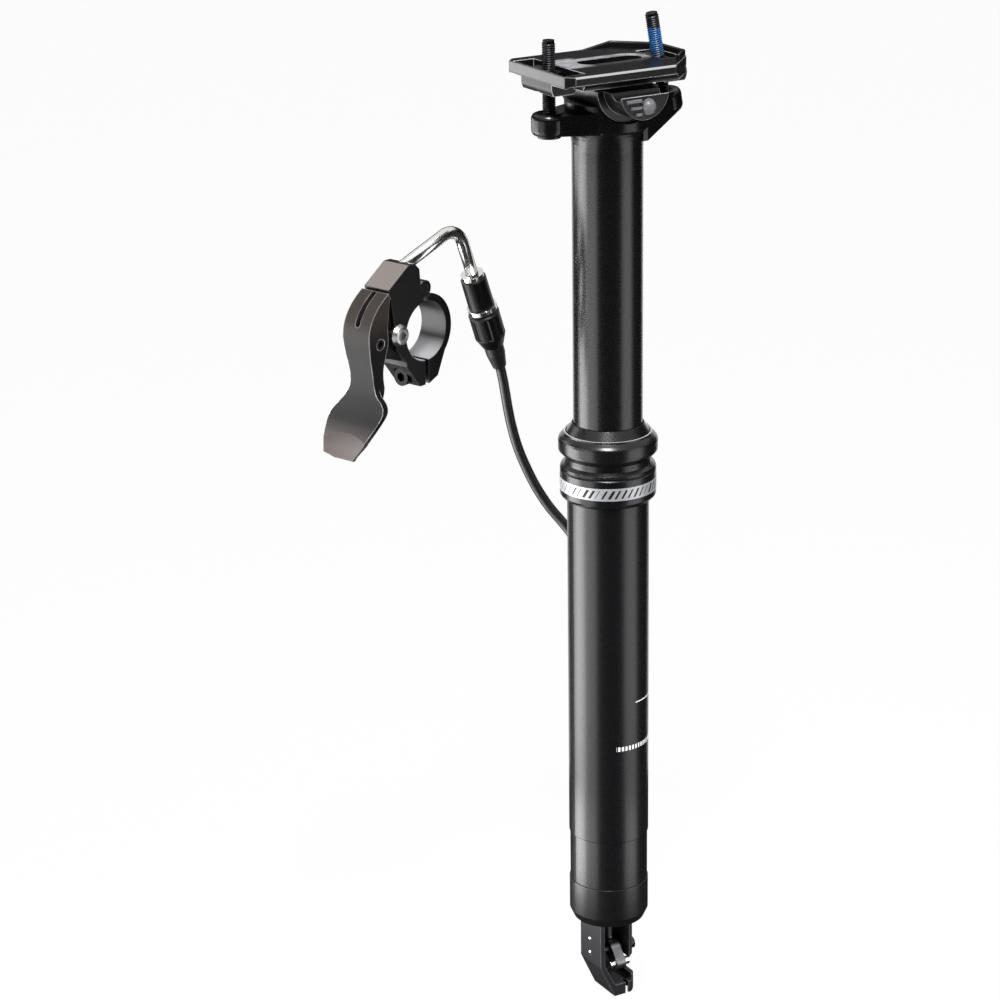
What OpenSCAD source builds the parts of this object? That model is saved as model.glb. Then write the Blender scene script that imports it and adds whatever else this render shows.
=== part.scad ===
// Dropper seatpost with an under-bar remote lever and its cable.
// Millimetres. Origin on the post axis at the collar's underside, +Z up the post, +X to the front.

/* [Outer tube] */
// Outside diameter of the outer tube
tube_d = 30.9; // [29.5:0.1:34.9]
// Wall of the outer tube
tube_wall = 1.45; // [1.2:0.05:2]
// Length of the outer tube below the collar
tube_len = 157.5; // [150:0.5:260]
// Length of the turned-down band at the tube's foot
band_len = 20.5; // [10:0.5:40]
// Depth of the turned-down band
band_depth = 0.4; // [0.2:0.05:0.6]
// Length of tube hidden inside the collar
tube_top = 12; // [8:0.5:20]
// Length of the end cap below the tube
cap_len = 16.5; // [14:0.5:30]
// Length of the end cap's spigot inside the tube
spigot_len = 9; // [5:0.5:12]

/* [Collar and seal] */
// Outside diameter of the collar nut
collar_d = 36.2; // [35:0.1:42]
// Height of the collar nut
collar_h = 16; // [15:0.5:26]
// Outside diameter of the wiper seal
seal_d = 37.5; // [36:0.1:44]
// Height of the wiper seal
seal_h = 13.8; // [12:0.2:24]

/* [Sliding post] */
// Outside diameter of the stanchion
post_d = 26; // [24:0.1:27]
// Wall of the stanchion
post_wall = 2.4; // [2.2:0.1:3]
// Drop travel
travel = 100; // [60:1:102]
// Height of the head's root above the collar's underside, fully raised
neck_z = 134; // [133:0.5:220]
// Length of stanchion below the collar's underside, fully raised
overlap = 46; // [42:0.5:47]
// Width of one guide key
key_w = 3; // [2:0.1:4]
// Length of one guide key
key_len = 12; // [8:0.5:14]

/* [Cartridge] */
// Wall of the cartridge tube
cartridge_wall = 1.5; // [1:0.1:2]
// Diameter of the piston rod
rod_d = 8; // [7:0.1:9]
// Diameter of the release pin in the rod
pin_d = 3.1; // [2.5:0.1:3.6]
// Length of the piston
piston_len = 10; // [6:0.5:14]

/* [Head] */
// Distance of each clamp bolt from the post axis
bolt_x = 24.5; // [23:0.1:27]
// Diameter of the clamp bolts
bolt_d = 5; // [4:0.1:6]
// Forward lean of the rear clamp bolt
rear_lean = 10; // [4:0.5:12]
// Radius of the round ear ends
ear_r = 6.5; // [5.6:0.1:7]
// Height of the ears
ear_h = 8.4; // [7:0.1:9]
// Height of the front ear's middle above the root
front_ear = 11.2; // [9:0.1:12]
// Height of the rear ear's middle above the root
rear_ear = 14.2; // [13:0.1:15]
// Height of the tilt axis above the root
tilt_rise = 24; // [23:0.1:27]
// Radius of the half-round cradle
cradle_r = 12.7; // [11:0.1:13.5]
// Width of the head across the bicycle
head_w = 26; // [22:0.5:28]

/* [Saddle clamp] */
// Diameter of a saddle rail
rail_d = 7; // [6.8:0.1:8]
// Distance between the two rails
rail_span = 44; // [42:0.5:46]
// Length of the clamp plate behind the post axis
plate_back = 28; // [27:0.1:32]
// Width of the clamp plate
plate_w = 44; // [43.5:0.5:52]
// Thickness of the clamp plate
plate_h = 6; // [5.6:0.1:8]
// Cut of the plate's rear corners
plate_cut = 13; // [8:0.5:14]
// Diameter of the barrel nuts
nut_d = 6.6; // [6.2:0.1:7]
// Length of the barrel nuts
nut_len = 16; // [12:0.5:20]

/* [Actuator] */
// Width of the actuator bracket across the bicycle
act_w = 15; // [14:0.5:18]
// Height of the actuator bracket
act_h = 34; // [32:0.5:40]
// Sheet thickness of the actuator bracket
act_t = 1.8; // [1.4:0.1:2.2]
// Diameter of the cam's pivot pin
cam_pin_d = 3; // [2.4:0.1:3.6]

/* [Remote] */
// Diameter of the handlebar that the clamp fits
bar_d = 22.2; // [22:0.1:25]
// Width of the clamp along the bar
clamp_w = 12; // [10:0.5:15]
// Wall of the clamp ring
clamp_wall = 2.9; // [2.6:0.1:3.6]
// Outside width of the lever's arm
lever_w = 13; // [12.6:0.1:15]
// Wall of the lever
lever_wall = 2.2; // [1.8:0.1:2.6]
// Width of the thumb pad
pad_w = 25; // [20:0.5:30]
// Diameter of the lever's pivot pin
lever_pin_d = 4; // [3:0.1:5]

/* [Cable] */
// Outside diameter of the bent noodle tube
noodle_d = 4.8; // [4.4:0.1:5]
// Outside diameter of the barrel adjuster
adjuster_d = 12; // [10.8:0.1:13]
// Length of the barrel adjuster
adjuster_len = 31; // [26:0.5:33]
// Outside diameter of the cable housing
housing_d = 4; // [3.6:0.1:4.2]
// Turns in the hank of spare housing
hank_turns = 6; // [4:2:8]

/* [Hidden] */
$fn = 64;

// Clearances: running fit, press fit between pieces of one body, and free air between moving bodies
run_gap = 0.05;
press_gap = 0.02;
air_gap = 0.3;
// Overrun of a cutting tool past the face that it cuts
cut = 1;

// Post sizes that follow from the driving ones
tube_r = tube_d / 2;
bore_r = tube_r - tube_wall;
thread_r = tube_r - 0.5;
seal_neck = tube_r + 0.9;
post_r = post_d / 2;
cap_top = -tube_len;
cap_foot = cap_top - cap_len;
cap_r = tube_r - 0.05;
rod_r = rod_d / 2;
pin_r = pin_d / 2;
cart_r = post_r - post_wall - run_gap;
cart_bore = cart_r - cartridge_wall;
cart_foot = -overlap + 6;
bush_top = tube_top - 2;
bush_len = 22;
lower_bush_len = 14;
key_foot = -overlap + lower_bush_len + 2;
key_in = post_r - 1.4;
key_out = bore_r + 0.55;
piston_foot = cart_foot + 4;
gas_room = 38;
cart_top = piston_foot + piston_len + travel + gas_room;
rod_foot = cap_foot + 1.5;
rod_nut_h = 5;
rod_nut_r = 7.5;
pin_foot = cap_foot - 11.4;
pin_stroke = 2;
cam_play = 0.9;

// Head sizes
front_z = neck_z + front_ear;
rear_z = neck_z + rear_ear;
tilt_z = neck_z + tilt_rise;
trough_r = cradle_r + air_gap;
neck_flare = 2.6;
neck_rise = 8;
bolt_r = bolt_d / 2;
hole_r = bolt_r + 0.4;
washer_h = 1.2;
head_pocket = 4.4;
head_h = 4;
bolt_head_r = bolt_r + 1.8;
washer_r = bolt_head_r + 0.5;
front_top = tilt_z + 17.3;
rear_top = tilt_z + 22.7;
rail_r = rail_d / 2;
rail_z = tilt_z + 0.7;
plate_z = tilt_z + 1.5;
nut_r = nut_d / 2;
nut_room = nut_r + 1;
nut_z = plate_z + plate_h - nut_r - 0.4;
nut_floor = nut_z - nut_r - air_gap;
plate_front = bolt_x + nut_room + 0.9;
rear_nut_x = -bolt_x + (nut_z - rear_z) * tan(rear_lean);

// Actuator sizes
act_top = cap_foot;
act_front = 8.5;
act_rear = -6.1;
hook_x = -8;
hook_r = 3;
cam_y = 2.5;
blind = 0.6;
stop_r = 1;
stop_y = -0.75;
stop_z = [act_top - 10.4, act_top - 16.4];
arm_y = 4.6;
arm_z = -4.5;
barrel_r = 1.6;
cam_z = cap_foot - 15;
cam_pin_r = cam_pin_d / 2;
hook_z = cap_foot - act_h;

// Remote: place and turn of its own frame, in which Y runs along the handlebar
remote_at = [61.9, -35.8, 67];
remote_turn = 20;
bar_r = bar_d / 2;
ring_r = bar_r + clamp_wall;
pivot_x = 25.4;
pivot_z = 0.5;
tongue_r = 3.6;
anchor_skin = 0.8;
lever_pin_r = lever_pin_d / 2;
tongue_w = lever_w - 2 * lever_wall - 2 * air_gap;
ear_gap = 2;
foot_z = -ring_r - 6.5;
pinch_z = -ring_r - 3;
pinch_x = 4.4;
screw_x = 15.4;
screw_z = 1.8;
hinge_z = ring_r + 2;
hinge_r = 1.5;

// Noodle route in the remote's X-Z plane: start, heading, straight, bend, straight
noodle_at = [4.5, 24.8];
noodle_heading = 163;
cable_heading = 155.6;
noodle_run = 23;
noodle_bend = 9;
noodle_end = 248.8;
noodle_drop = 15;
noodle_r = noodle_d / 2;
noodle_p1 = noodle_at + noodle_run * heading(noodle_heading);
noodle_mid = noodle_p1 + noodle_bend * heading(noodle_heading + 90);
noodle_p2 = noodle_mid - noodle_bend * heading(noodle_end + 90);
noodle_p3 = noodle_p2 + noodle_drop * heading(noodle_end);
noodle_seat = 3;
noodle_hold = 8;
noodle_flat = concat([noodle_at - noodle_seat * heading(noodle_heading)],
    [for (k = [0 : 14]) noodle_mid + noodle_bend * heading(noodle_heading - 90 + (noodle_end - noodle_heading) * k / 14)],
    [noodle_p3 + noodle_hold * heading(noodle_end)]);
noodle_route = [for (p = noodle_flat) [p[0], 0, p[1]]];
adjuster_r = adjuster_d / 2;
adjuster_at = noodle_p3;
sleeve_len = 10;

// Cable: its points are given across the view, behind the post and up, then turned by this angle
cord_turn = 150;
cord_r = housing_d / 2;
sleeve_foot = adjuster_at + (adjuster_len + sleeve_len - 1.5) * heading(noodle_end);
cord_start = to_cord(sleeve_foot);
cord_next = to_cord(sleeve_foot + housing_d * heading(noodle_end));
hank_core = 12;
hank_step = 5.75;
hank_half = 36;
hank_mid = -105;
hank_layer = 2.4;
hank_draw = 0.2;
hank_near = 18.6;
hank_wide = hank_core + hank_step * hank_turns / 2;
hank_t = hank_near + hank_wide;
hank_top = hank_mid + hank_half;
hank_rings = 24;
hank_count = hank_turns * hank_rings;
housing_route = concat([cord_start, cord_next],
    [[-35, 34, 14], [-30, 33, 0], [-23, 32, -13], [-14, 29, -24], [-7, 24, -34], [-3, 20, -46],
     [-hank_layer, hank_near, hank_top + 12], [-hank_layer, hank_near, hank_top + 8],
     [-hank_layer, hank_near, hank_top + 4]]);
hank_route = concat([[-hank_layer, hank_near, hank_top + 4]],
    [for (k = [0 : hank_count]) hank_point(k)],
    [[hank_layer, hank_near, hank_top - 4]]);
echo(hank_least_gap = least_gap(hank_route, hank_rings / 2) - housing_d);

function heading(a) = [cos(a), sin(a)];
function turned(p, a) = [p[0] * cos(a) - p[1] * sin(a), p[0] * sin(a) + p[1] * cos(a), p[2]];
// A point of the remote's X-Z plane in the cable's own coordinates
function to_cord(p) = turned(remote_at + turned([p[0], 0, p[1]], remote_turn), -cord_turn);

// One point of the hank: k counts rings, the spiral goes in, climbs a layer and comes out again
function hank_radius(u) = hank_core + hank_step * abs(u - hank_turns / 2);
function hank_side(u) = hank_layer * max(-1, min(1, (u - hank_turns / 2) * 4));
function hank_waist(z) = 1 - hank_draw * (1 + cos(180 * z / hank_half)) / 2;
function hank_flat(i, r) =
    i < 4 ? [-r * hank_waist(hank_half * (1 - i / 2)), hank_half * (1 - i / 2)] :
    i < 12 ? [-r * cos((i - 4) * 22.5), -hank_half - r * sin((i - 4) * 22.5)] :
    i < 16 ? [r * hank_waist(hank_half * ((i - 12) / 2 - 1)), hank_half * ((i - 12) / 2 - 1)] :
    [r * cos((i - 16) * 22.5), hank_half + r * sin((i - 16) * 22.5)];
function hank_point(k) =
    let (u = k / hank_rings, f = hank_flat(k % hank_rings, hank_radius(u)))
    [hank_side(u), hank_t + f[0], hank_mid + f[1]];

// Least distance between two points of a route that lie at least a set number of rings apart
function least_gap(route, apart) = min([for (i = [0 : len(route) - 1 - apart])
    min([for (j = [i + apart : len(route) - 1]) norm(route[i] - route[j])])]);

// Sweep of a round bar along a route that never runs along side: rings square to the mean direction
function unit(v) = v / norm(v);
function along(route, i) =
    unit(route[min(i + 1, len(route) - 1)] - route[max(i - 1, 0)]);
function ring_points(p, d, r, sides, side) =
    let (a = unit(cross(d, side)), b = cross(d, a))
    [for (s = [0 : sides - 1]) p + r * (cos(360 * s / sides) * a + sin(360 * s / sides) * b)];

module sweep(route, r, sides, side = [1, 0, 0]) {
    n = len(route);
    points = [for (i = [0 : n - 1]) each ring_points(route[i], along(route, i), r, sides, side)];
    walls = [for (i = [0 : n - 2], s = [0 : sides - 1])
        let (a = i * sides + s, b = i * sides + (s + 1) % sides)
        each [[a, a + sides, b], [b, a + sides, b + sides]]];
    first = [for (s = [1 : sides - 2]) [0, s, s + 1]];
    last = [for (s = [1 : sides - 2]) [n * sides - sides, n * sides - sides + s + 1, n * sides - sides + s]];
    polyhedron(points, concat(walls, first, last));
}

// Plain ring between two heights
module ring(r_out, r_in, z0, z1) {
    translate([0, 0, z0]) difference() {
        cylinder(r = r_out, h = z1 - z0);
        translate([0, 0, -cut]) cylinder(r = r_in, h = z1 - z0 + 2 * cut);
    }
}

// Upright boss with rounded rims, centred on its own middle
module boss(r, h, f) {
    corner = [for (a = [0 : 15 : 90]) [r - f + f * cos(a), h / 2 - f + f * sin(a)]];
    lower = [for (a = [90 : -15 : 0]) [r - f + f * cos(a), -h / 2 + f - f * sin(a)]];
    rotate_extrude() polygon(concat([[0, h / 2]], [for (i = [6 : -1 : 0]) corner[i]],
        [for (i = [6 : -1 : 0]) lower[i]], [[0, -h / 2]]));
}

// Flat shape of a slot with round ends along X
module slot_shape(length, r) {
    union() {
        square([length, 2 * r], center = true);
        for (s = [-1, 1]) translate([s * length / 2, 0]) circle(r = r);
    }
}

// Cylinder along Y, centred
module across(r, w) {
    rotate([90, 0, 0]) cylinder(r = r, h = w, center = true);
}

// Extrusion of an X-Z outline across Y, centred
module slab(w) {
    translate([0, w / 2, 0]) rotate([90, 0, 0]) linear_extrude(w) children();
}

// Socket-head screw along Z: head below zero, shank above, with a hexagon socket
module cap_screw(r, head_r, h, length) {
    difference() {
        union() {
            cylinder(r = r, h = length);
            translate([0, 0, -h]) cylinder(r = head_r, h = h);
        }
        translate([0, 0, -h - cut]) cylinder(r = r * 0.92, h = h * 0.55 + cut, $fn = 6);
    }
}

module outer_tube() {
    color("#1d1d20") difference() {
        rotate_extrude() polygon([[bore_r, tube_top], [thread_r, tube_top], [thread_r, 0], [tube_r, 0],
            [tube_r, -tube_len + band_len],
            [tube_r - band_depth, -tube_len + band_len - band_depth], [tube_r - band_depth, cap_top],
            [bore_r, cap_top]]);
        for (a = [0, 120, 240]) rotate([0, 0, a])
            translate([bore_r - cut, -key_w / 2 - run_gap, cap_top - cut])
                cube([key_out + 0.1 - bore_r + cut, key_w + 2 * run_gap, tube_len + bush_top - bush_len + cut]);
    }
}

module collar_nut() {
    collar_r = collar_d / 2;
    seat_r = thread_r + press_gap;
    groove = 0.5;
    groove_z = collar_h - 3.9;
    color("#151517") rotate_extrude() polygon([[seat_r, 0], [tube_r + 0.3, 0], [collar_r - 0.5, 1.4], [collar_r, 2.2],
        [collar_r, groove_z - groove], [collar_r - groove, groove_z], [collar_r, groove_z + groove],
        [collar_r - 0.35, collar_h - 2.5], [seal_neck, collar_h - 1.4], [seal_neck, collar_h],
        [bore_r + 0.7, collar_h], [bore_r + 0.7, tube_top + press_gap], [seat_r, tube_top + press_gap]]);
}

// Wiper seal: neck, rounded rim, a thin raised bead and a cone up to the lip on the stanchion
module wiper_seal() {
    seal_r = seal_d / 2;
    lip_z = collar_h + seal_h;
    bead_r = post_r + 3.2;
    bead_z = lip_z - 3.2;
    color("#2a2a2c") rotate_extrude() polygon([[post_r + 0.6, collar_h], [seal_neck, collar_h],
        [seal_neck, collar_h + 0.9], [seal_r - 0.9, collar_h + 2.5], [seal_r - 0.2, collar_h + 3.2],
        [seal_r, collar_h + 4], [seal_r, lip_z - 6.6], [seal_r - 0.3, lip_z - 5.7], [seal_r - 1, lip_z - 4.9],
        [bead_r + 0.4, bead_z - 0.7], [bead_r + 0.3, bead_z], [bead_r - 0.2, bead_z], [bead_r - 0.4, bead_z - 0.4],
        [post_r + 0.5, lip_z], [post_r + run_gap, lip_z], [post_r + run_gap, lip_z - 2],
        [post_r + 0.6, lip_z - 3]]);
}

module foam_ring() {
    color("#5b5348") ring(bore_r + 0.7 - press_gap, post_r + air_gap, tube_top + press_gap, collar_h);
}

module upper_bushing() {
    color("#c9c4b4") ring(bore_r - press_gap, post_r + run_gap, bush_top - bush_len, bush_top);
}

module end_cap() {
    foot_r = cap_r - 1.5;
    color("#222225") difference() {
        rotate_extrude() polygon([[rod_r + press_gap, cap_top + spigot_len], [bore_r - run_gap, cap_top + spigot_len],
            [bore_r - run_gap, cap_top], [cap_r, cap_top], [cap_r, cap_foot + 3.3], [foot_r, cap_foot],
            [rod_r + press_gap, cap_foot]]);
        translate([0, 0, cap_foot - cut]) cylinder(r = rod_nut_r + 0.6, h = rod_nut_h + 2.5 + cut);
    }
}

module piston_rod() {
    color("#b9bcc0") ring(rod_r, pin_r + run_gap, rod_foot, piston_foot + piston_len - 2);
}

module piston() {
    color("#8d8f93") difference() {
        translate([0, 0, piston_foot]) cylinder(r = cart_bore - run_gap, h = piston_len);
        translate([0, 0, piston_foot - cut]) cylinder(r = rod_r + press_gap, h = piston_len - 2 + cut);
    }
}

module rod_nut() {
    color("#9a9da1") translate([0, 0, cap_foot + 2.5]) difference() {
        cylinder(r = rod_nut_r, h = rod_nut_h, $fn = 6);
        translate([0, 0, -cut]) cylinder(r = rod_r + press_gap, h = rod_nut_h + 2 * cut);
    }
}

module valve_pin() {
    color("#d2d4d6") translate([0, 0, pin_foot])
        cylinder(r = pin_r, h = piston_foot + piston_len - 2 - pin_stroke - air_gap - pin_foot);
}

// Housing under the end cap: front plate, back wall, rear cheek, top flange and a thick foot with a cable hook
module actuator_bracket() {
    bend_z = act_top - 20;
    bend_x = 2;
    foot_top = hook_z + 4.8;
    hook_top = hook_z + 7.6;
    color("#4a4a4d") difference() {
        union() {
            slab(act_w) difference() {
                polygon([[act_front, act_top], [act_front, bend_z], [bend_x, hook_z], [hook_x, hook_z],
                    [hook_x, hook_top], [hook_x + act_t, hook_top], [hook_x + act_t, foot_top], [bend_x - 0.4, foot_top],
                    [act_front - act_t, bend_z + 0.6], [act_front - act_t, act_top]]);
                translate([hook_x, hook_z]) difference() {
                    translate([-cut, -cut]) square(hook_r + cut);
                    translate([hook_r, hook_r]) circle(r = hook_r);
                }
            }
            slab(act_w) polygon([[act_rear, act_top], [act_rear, act_top - 17], [act_rear + act_t - 0.4, act_top - 18.5],
                [act_rear + act_t - 0.4, act_top]]);
            translate([0, -(act_w - act_t) / 2, 0]) slab(act_t) polygon([[act_front - cut, act_top],
                [act_front - cut, bend_z], [bend_x, hook_z + cut], [hook_x + hook_r, foot_top], [act_rear + 1, act_top - 17],
                [act_rear + cut, act_top]]);
            intersection() {
                ring(rod_nut_r + 4.5, pin_r + 1.2, act_top - 1.6, act_top);
                translate([act_rear, -act_w / 2, act_top - 2]) cube([act_front - act_rear, act_w, 3]);
            }
        }
        translate([act_rear - cut, cam_y, cam_z]) rotate([0, 90, 0])
            cylinder(r = cam_pin_r + press_gap, h = act_front - act_rear - blind + cut);
        for (z = stop_z) translate([act_front - act_t - cut, stop_y, z]) rotate([0, 90, 0])
            cylinder(r = stop_r + press_gap, h = act_t + 2 * cut);
        translate([hook_x + 4.2, 4, hook_z - cut]) cylinder(r = 2.7, h = act_t + 1 + cut);
        translate([hook_x + 3.5, 4, hook_z - cut]) cube([1.4, act_w, 6]);
        translate([hook_x - cut, act_w / 2 - hook_r, hook_z - cut]) difference() {
            cube([hook_r + cut, hook_r + cut, hook_top - hook_z + 2 * cut]);
            translate([hook_r + cut, 0, -cut]) cylinder(r = hook_r, h = hook_top - hook_z + 4 * cut);
        }
    }
}

// Two polished pins with domed ends, pressed into the front plate
module stop_pins() {
    color("#e3e4e6") for (z = stop_z) translate([act_front, stop_y, z]) rotate([0, 90, 0])
        rotate_extrude() polygon([[0, -act_t], [stop_r, -act_t], [stop_r, 0], [stop_r * 0.8, 0.25], [stop_r * 0.4, 0.4],
            [0, 0.45]]);
}

module cam_pivot_pin() {
    head_len = 1.8;
    neck_len = 1.4;
    color("#2c2c2e") translate([act_rear - neck_len - head_len, cam_y, cam_z]) rotate([0, 90, 0]) union() {
        cylinder(r = cam_pin_r, h = act_front - act_rear + neck_len + head_len - blind - press_gap);
        cylinder(r = cam_pin_r + 0.9, h = head_len);
    }
}

// Bell crank on the pivot pin: its nose lifts the release pin when the cable pulls the arm down
module actuator_cam() {
    cam_w = 4;
    nose_z = pin_foot - cam_play - cam_z;
    color("#c4c6c9") translate([0, cam_y, cam_z]) difference() {
        translate([-cam_w / 2, 0, 0]) rotate([90, 0, 90]) linear_extrude(cam_w) union() {
            circle(r = cam_pin_r + 1.6);
            polygon([[-cam_y - 1.6, nose_z - 1.4], [-cam_y - 1, nose_z], [-cam_y + 1, nose_z], [1, cam_pin_r + 1.4],
                [0, -cam_pin_r - 1.5], [-2, -cam_pin_r - 1]]);
            polygon([[2, cam_pin_r + 0.8], [arm_y + 1.8, arm_z + 1.9], [arm_y - 1.6, arm_z - 2], [-1.8, -2.4]]);
            translate([arm_y, arm_z]) circle(r = barrel_r + 1);
        }
        rotate([0, 90, 0]) cylinder(r = cam_pin_r + run_gap, h = cam_w + 2 * cut, center = true);
        translate([0, arm_y, arm_z]) rotate([0, 90, 0])
            cylinder(r = barrel_r + press_gap, h = cam_w + 2 * cut, center = true);
    }
}

module cable_barrel() {
    color("#dddfe1") translate([0, cam_y + arm_y, cam_z + arm_z]) difference() {
        rotate([0, 90, 0]) cylinder(r = barrel_r, h = 8.6, center = true);
        translate([-3.3, 0, 0]) cylinder(r = 0.5, h = 6, center = true);
    }
}

// Stanchion and head in one: tube, flared neck, half-round trough and two bolt ears
module stanchion() {
    color("#1b1b1d") difference() {
        union() {
            translate([0, 0, -overlap]) cylinder(r = post_r, h = overlap + neck_z + 1);
            rotate_extrude() polygon(concat([[0, neck_z], [post_r, neck_z]],
                [for (a = [15 : 15 : 90]) [post_r + neck_flare * (1 - cos(a)), neck_z + neck_rise * sin(a)]],
                [[post_r + neck_flare, tilt_z - 6.5], [0, tilt_z - 6.5]]));
            hull() {
                translate([bolt_x, 0, front_z]) cylinder(r = ear_r - 0.6, h = ear_h - 1.2, center = true, $fn = 32);
                translate([9, 0, front_z]) cube([2, head_w - 3, ear_h - 0.6], center = true);
            }
            hull() {
                rear_place() cylinder(r = ear_r - 0.6, h = ear_h - 1.2, center = true, $fn = 32);
                translate([-9, 0, (neck_z + 3 + rear_z + ear_h / 2) / 2])
                    cube([2, head_w - 3, rear_z + ear_h / 2 - neck_z - 3], center = true);
            }
            translate([bolt_x, 0, front_z]) boss(ear_r, ear_h, 2.2);
            rear_place() boss(ear_r, ear_h, 2.2);
        }
        translate([0, 0, -overlap - cut]) cylinder(r = cart_r + run_gap, h = cart_top + overlap + cut);
        translate([0, 0, tilt_z]) across(trough_r, 2 * (post_r + neck_flare + cut));
        translate([bolt_x, 0, front_z]) cylinder(r = hole_r, h = 40, center = true);
        rear_place() cylinder(r = hole_r, h = 40, center = true);
        translate([bolt_x, 0, front_z]) spot_face();
        rear_place() spot_face();
        for (a = [0, 120, 240]) rotate([0, 0, a]) translate([key_in, -key_w / 2, key_foot])
            cube([post_r, key_w, key_len]);
    }
}

// Pocket under an ear for the washer and the bolt's head
module spot_face() {
    translate([0, 0, -ear_h / 2 - 20]) cylinder(r = washer_r + air_gap, h = 20 + head_pocket);
}

// Frame of the leaning rear bolt, its zero at the rear ear's middle
module rear_place() {
    translate([-bolt_x, 0, rear_z]) rotate([0, rear_lean, 0]) children();
}

module lower_bushing() {
    color("#c9c4b4") ring(bore_r - run_gap, post_r + press_gap, -overlap, -overlap + lower_bush_len);
}

module guide_keys() {
    color("#b08d4a") for (a = [0, 120, 240]) rotate([0, 0, a])
        translate([key_in + press_gap, -key_w / 2 + press_gap, key_foot + press_gap])
            cube([key_out - key_in, key_w - 2 * press_gap, key_len - 2 * press_gap]);
}

module cartridge_tube() {
    color("#a7a9ac") difference() {
        translate([0, 0, cart_foot]) cylinder(r = cart_r, h = cart_top - cart_foot - press_gap);
        translate([0, 0, cart_foot - cut]) cylinder(r = cart_bore, h = cart_top - cart_foot - 5);
    }
}

module cartridge_head() {
    color("#77797c") ring(cart_r, rod_r + run_gap, -overlap, cart_foot);
}

module front_clamp_bolt() {
    foot = front_z - ear_h / 2 + head_pocket - washer_h;
    color("#3a3a3d") translate([bolt_x, 0, foot])
        cap_screw(bolt_r, bolt_head_r, head_h, front_top - foot);
}

module rear_clamp_bolt() {
    foot = -ear_h / 2 + head_pocket - washer_h;
    color("#3a3a3d") rear_place() translate([0, 0, foot])
        cap_screw(bolt_r, bolt_head_r, head_h, (rear_top - rear_z) / cos(rear_lean) - foot);
}

module bolt_washers() {
    seat = -ear_h / 2 + head_pocket;
    color("#8b8d90") {
        translate([bolt_x, 0, front_z]) ring(washer_r, bolt_r + press_gap, seat - washer_h, seat);
        rear_place() ring(washer_r, bolt_r + press_gap, seat - washer_h, seat);
    }
}

// Half-round cradle with two rail wings, ribbed at their ends
module rail_cradle() {
    wing_r = cradle_r - 2.7;
    dome_r = 2.8;
    rib_x = 1.6;
    wing_out = rail_span / 2 + rail_r - 0.5;
    flat = tilt_z - 0.5;
    color("#232326") difference() {
        union() {
            translate([0, 0, tilt_z]) across(cradle_r, head_w + 1);
            translate([0, 0, tilt_z]) across(wing_r, 2 * wing_out);
            for (s = [-1, 1]) translate([0, s * wing_out, flat]) {
                for (h = [2.4, 4.8, 7.2]) translate([rib_x + 0.4 * (wing_r - h), 0, -h])
                    cube([0.8 * (wing_r - h), 1.6, 0.9], center = true);
                translate([-dome_r / 2, 0, -dome_r - 2]) sphere(r = dome_r);
            }
        }
        translate([-40, -40, flat]) cube([80, 80, 40]);
        for (s = [-1, 1]) translate([0, s * rail_span / 2, rail_z]) rotate([0, 90, 0])
            cylinder(r = rail_r + run_gap, h = 80, center = true);
        translate([0, 0, flat - 7]) linear_extrude(8) slot_shape(9, 4);
    }
}

// Clamp plate: cut rear corners, rail grooves, centre opening, and a nut trough round each bolt
module clamp_plate() {
    half_w = plate_w / 2;
    top = plate_z + plate_h;
    front_relief = 1.8;
    color("#4c4c50") difference() {
        union() {
            translate([0, 0, plate_z]) linear_extrude(plate_h) polygon([[plate_front, -half_w + 3],
                [plate_front, half_w - 3], [plate_front - 3, half_w], [-plate_back + plate_cut, half_w],
                [-plate_back, half_w - plate_cut], [-plate_back, -half_w + plate_cut],
                [-plate_back + plate_cut, -half_w], [plate_front - 3, -half_w]]);
            for (x = [bolt_x, rear_nut_x]) translate([x, 0, plate_z + 0.5]) nut_trough(nut_room + 0.9, nut_len + 5);
        }
        for (s = [-1, 1]) translate([0, s * rail_span / 2, rail_z]) rotate([0, 90, 0])
            cylinder(r = rail_r + run_gap, h = 90, center = true);
        translate([-1, 0, plate_z - cut]) linear_extrude(plate_h + 2 * cut) slot_shape(17, 4.5);
        translate([bolt_x, 0, top - 3.2]) linear_extrude(4) square([2 * nut_room, plate_w - 9], center = true);
        for (x = [bolt_x, rear_nut_x]) translate([x, 0, top - nut_floor]) nut_cut();
        for (s = [0, 1]) mirror([0, s, 0]) translate([plate_front - 8, nut_len / 2 + 2.5, plate_z - cut])
            cube([10, plate_w, front_relief + cut]);
        translate([bolt_x, 0, nut_floor - 8]) linear_extrude(20) slot_shape(2.6, bolt_r + 0.6);
        translate([rear_nut_x, 0, nut_z]) rotate([0, rear_lean, 0]) translate([0, 0, -14]) linear_extrude(28)
            slot_shape(3.2, bolt_r + 0.6);
    }
}

// Underside of a nut trough, rounded along its length
module nut_trough(r, w) {
    intersection() {
        across(r, w);
        translate([-r, -w / 2, nut_floor - 1.1 - plate_z - 0.5]) cube([2 * r, w, 10]);
    }
}

// Room for a barrel nut, open at the top of the plate
module nut_cut() {
    depth = plate_z + plate_h - nut_floor;
    translate([0, 0, nut_floor - (plate_z + plate_h) + nut_floor]) linear_extrude(depth + cut)
        square([2 * nut_room, nut_len + 2], center = true);
}

module front_barrel_nut() {
    color("#8f9194") translate([bolt_x, 0, nut_z]) difference() {
        across(nut_r, nut_len);
        cylinder(r = bolt_r + run_gap, h = 20, center = true);
    }
}

module rear_barrel_nut() {
    color("#8f9194") translate([rear_nut_x, 0, nut_z]) rotate([0, rear_lean, 0]) difference() {
        across(nut_r, nut_len);
        cylinder(r = bolt_r + run_gap, h = 20, center = true);
    }
}

// Frame of the remote
module at_remote() {
    translate(remote_at) rotate([0, 0, remote_turn]) children();
}

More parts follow.
